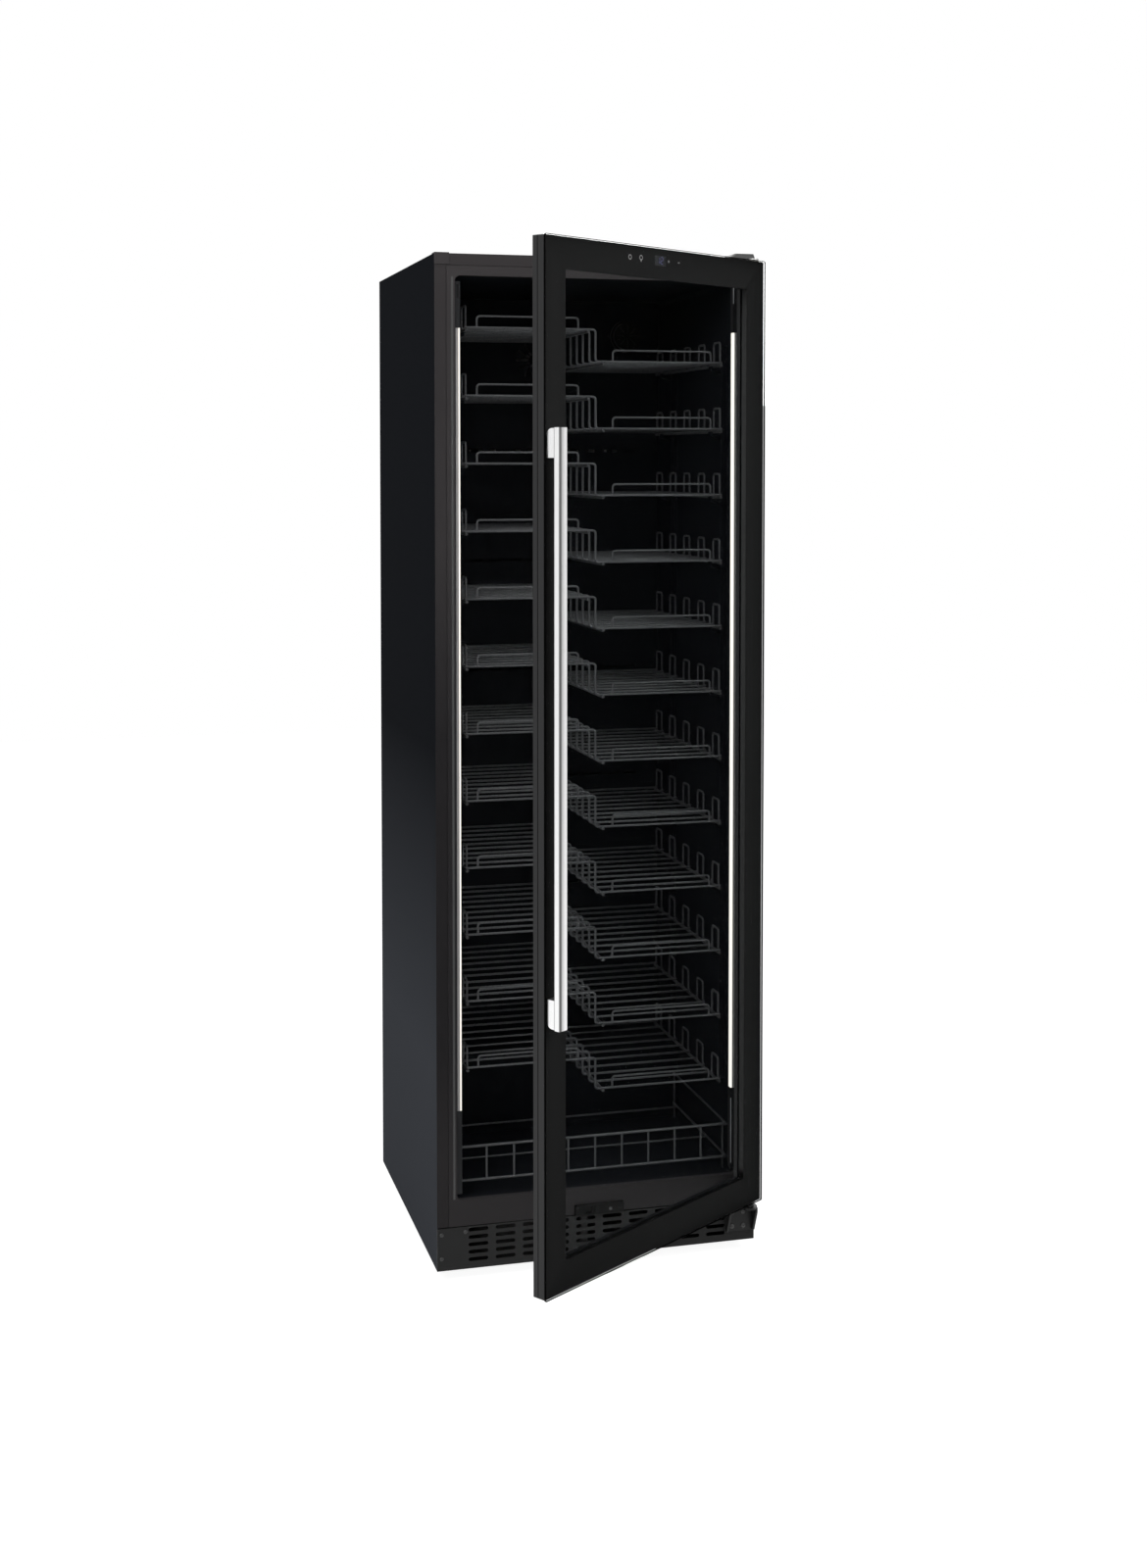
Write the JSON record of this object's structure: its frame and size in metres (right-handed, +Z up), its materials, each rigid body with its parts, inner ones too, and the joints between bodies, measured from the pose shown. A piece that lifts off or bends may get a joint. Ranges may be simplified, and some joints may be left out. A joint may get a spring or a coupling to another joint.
{
  "type": "wine cooler",
  "caption": "Tall free-standing wine cooler with a framed glass door on the right, stepped wire racks, side light bars, a long bar handle and a slotted kick plate with a foot pedal.",
  "frame": {"origin": "On the floor, under the middle of the cabinet body (halfway across its width and halfway between its front face and its back face).", "axes": "+Z is up and the cabinet is tallest along it. The door side faces -Y and the rear panel faces +Y. The door hinges are on the +X side and the handle is on the -X side."},
  "size_m": [0.6012, 0.961, 1.833],
  "materials": {
    "cabinet_paint": "satin",
    "bare_steel": "satin",
    "liner_plastic": "matte",
    "foam": "matte",
    "front_paint": "satin",
    "trim_plastic": "satin",
    "screw_steel": "polished",
    "channel_plastic": "gloss",
    "lamp_diffuser": "satin",
    "support_plastic": "matte",
    "rack_wire": "satin",
    "duct_plastic": "matte",
    "coil_aluminium": "satin",
    "fan_plastic": "satin",
    "compressor_paint": "gloss",
    "inlet_plastic": "satin",
    "door_paint": "satin",
    "clear_glass": "polished",
    "glass_print": "gloss",
    "spacer_aluminium": "satin",
    "gasket_rubber": "matte",
    "handle_steel": "satin",
    "panel_plastic": "gloss",
    "bush_plastic": "satin",
    "pedal_plastic": "satin",
    "wheel_plastic": "satin",
    "foot_plastic": "satin"
  },
  "bodies": {
    "cabinet": {"outer_shell": "cabinet_paint", "rear_panel": "bare_steel", "base_pan": "bare_steel", "inner_liner": "liner_plastic", "insulation": "foam", "front_frame": "front_paint", "corner_cap": "trim_plastic", "top_hinge_bracket": "bare_steel", "top_hinge_cover": "trim_plastic", "bottom_hinge_bracket": "bare_steel", "kick_plate": "front_paint", "body_screws": "screw_steel", "pusher_housing": "trim_plastic", "light_channels": "channel_plastic", "led_strip_left": "lamp_diffuser", "led_strip_right": "lamp_diffuser", "rack_support_left": "support_plastic", "rack_support_right": "support_plastic", "rack_01": "rack_wire", "rack_02": "rack_wire", "rack_03": "rack_wire", "rack_04": "rack_wire", "rack_05": "rack_wire", "rack_06": "rack_wire", "rack_07": "rack_wire", "rack_08": "rack_wire", "rack_09": "rack_wire", "rack_10": "rack_wire", "rack_11": "rack_wire", "rack_12": "rack_wire", "lower_shelf": "rack_wire", "duct_cover": "duct_plastic", "evaporator_coil": "coil_aluminium", "evaporator_fan_housing": "fan_plastic", "charcoal_filter": "duct_plastic", "compressor": "compressor_paint", "condenser_coil": "compressor_paint", "condenser_fan_shroud": "fan_plastic", "drain_tray": "fan_plastic", "control_box": "fan_plastic", "power_inlet": "inlet_plastic", "wheel_brackets": "bare_steel"},
    "door": {"door_frame": "door_paint", "outer_glass": "clear_glass", "glass_border": "glass_print", "inner_glass": "clear_glass", "glass_spacer": "spacer_aluminium", "door_gasket": "gasket_rubber", "handle_bar": "handle_steel", "handle_posts": "handle_steel", "display_module": "panel_plastic", "hinge_bushes": "bush_plastic"},
    "pedal": {"foot_pedal": "pedal_plastic"},
    "pusher": {"door_pusher": "trim_plastic"},
    "cold_fan": {"evaporator_fan": "fan_plastic"},
    "hot_fan": {"condenser_fan": "fan_plastic"},
    "wheel_left": {"rear_wheel_left": "wheel_plastic"},
    "wheel_right": {"rear_wheel_right": "wheel_plastic"},
    "foot_left": {"front_foot_left": "foot_plastic"},
    "foot_right": {"front_foot_right": "foot_plastic"}
  },
  "joints": [
    {"name": "door_hinge", "type": "hinge", "parent": "cabinet", "child": "door", "pos_m": [0.2815, -0.312, 0.96], "axis": [0, 0, 1], "range_deg": [-34, 70]},
    {"name": "pedal_hinge", "type": "hinge", "parent": "cabinet", "child": "pedal", "pos_m": [0, -0.26, 0.032], "axis": [1, 0, 0], "range_deg": [0, 6.8], "stiffness_Nm_per_rad": 6, "springref_deg": -6.88},
    {"name": "pusher_slide", "type": "slide", "parent": "cabinet", "child": "pusher", "axis": [0, -1, 0], "range_m": [0, 0.0091]},
    {"name": "cold_fan_spin", "type": "hinge", "parent": "cabinet", "child": "cold_fan", "pos_m": [0, 0.21, 1.662], "axis": [0, 1, 0], "continuous": true},
    {"name": "hot_fan_spin", "type": "hinge", "parent": "cabinet", "child": "hot_fan", "pos_m": [-0.138, 0.1885, 0.094], "axis": [1, 0, 0], "continuous": true},
    {"name": "wheel_left_spin", "type": "hinge", "parent": "cabinet", "child": "wheel_left", "pos_m": [-0.2715, 0.216, 0.02], "axis": [1, 0, 0], "continuous": true},
    {"name": "wheel_right_spin", "type": "hinge", "parent": "cabinet", "child": "wheel_right", "pos_m": [0.2715, 0.216, 0.02], "axis": [1, 0, 0], "continuous": true},
    {"name": "foot_left_turn", "type": "hinge", "parent": "cabinet", "child": "foot_left", "pos_m": [-0.2495, -0.214, 0.01], "axis": [0, 0, 1], "continuous": true},
    {"name": "foot_right_turn", "type": "hinge", "parent": "cabinet", "child": "foot_right", "pos_m": [0.2495, -0.214, 0.01], "axis": [0, 0, 1], "continuous": true}
  ],
  "couplings": [
    {"joint": "pusher_slide", "follows": "pedal_hinge", "m_per_rad": 0.076}
  ]
}
